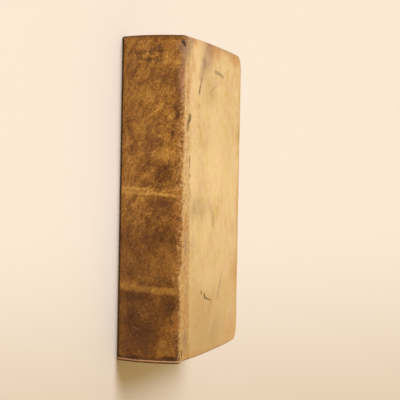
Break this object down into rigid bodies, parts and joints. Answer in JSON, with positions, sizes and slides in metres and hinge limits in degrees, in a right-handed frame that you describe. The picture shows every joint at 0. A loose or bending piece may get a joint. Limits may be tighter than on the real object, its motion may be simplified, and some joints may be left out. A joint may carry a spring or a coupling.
{
  "type": "antique leather book",
  "caption": "Small old book in a full skin binding: rounded brown spine, pale bowed front cover, laced endbands, both covers hinged.",
  "frame": {"origin": "centre of the book's footprint, on the surface that it lies on", "axes": "+X from head to tail, +Y from the spine to the fore edge, +Z from the back cover up to the front cover"},
  "size_m": [0.1708, 0.108, 0.0383],
  "materials": {
    "leaves": "aged laid paper, cut edges",
    "spine_leather": "worn, stained brown, semi-matte",
    "cover_leather": "pale, rubbed smooth, semi-matte",
    "pasteboard": "rough grey pulp board",
    "pastedown_paper": "aged laid paper, foxed",
    "lining_paper": "waste paper, glue-stained",
    "tawed_thong": "alum-tawed, split, matte",
    "endband_core": "twisted, dirty, matte",
    "thread": "linen thread, waxed"
  },
  "bodies": {
    "text_block": {"text_block": "leaves", "spine_leather": "spine_leather", "head_endband": "thread", "tail_endband": "thread", "head_thong": "tawed_thong", "middle_thong": "tawed_thong", "tail_thong": "tawed_thong", "head_lining": "lining_paper", "upper_lining": "lining_paper", "lower_lining": "lining_paper", "tail_lining": "lining_paper", "head_kettle_stitch": "thread", "tail_kettle_stitch": "thread"},
    "front_cover": {"front_leather": "cover_leather", "front_board": "pasteboard", "front_pastedown": "pastedown_paper", "front_head_slip": "tawed_thong", "front_middle_slip": "tawed_thong", "front_tail_slip": "tawed_thong", "front_head_lace": "endband_core", "front_tail_lace": "endband_core"},
    "back_cover": {"back_leather": "cover_leather", "back_board": "pasteboard", "back_pastedown": "pastedown_paper", "back_head_slip": "tawed_thong", "back_middle_slip": "tawed_thong", "back_tail_slip": "tawed_thong", "back_head_lace": "endband_core", "back_tail_lace": "endband_core"}
  },
  "joints": [
    {"name": "front_joint", "type": "hinge", "parent": "text_block", "child": "front_cover", "pos_m": [0, -0.04824, 0.0351], "axis": [1, 0, 0], "range_deg": [0, 180]},
    {"name": "back_joint", "type": "hinge", "parent": "text_block", "child": "back_cover", "pos_m": [0, -0.04824, 0], "axis": [1, 0, 0], "range_deg": [-180, 0]}
  ]
}
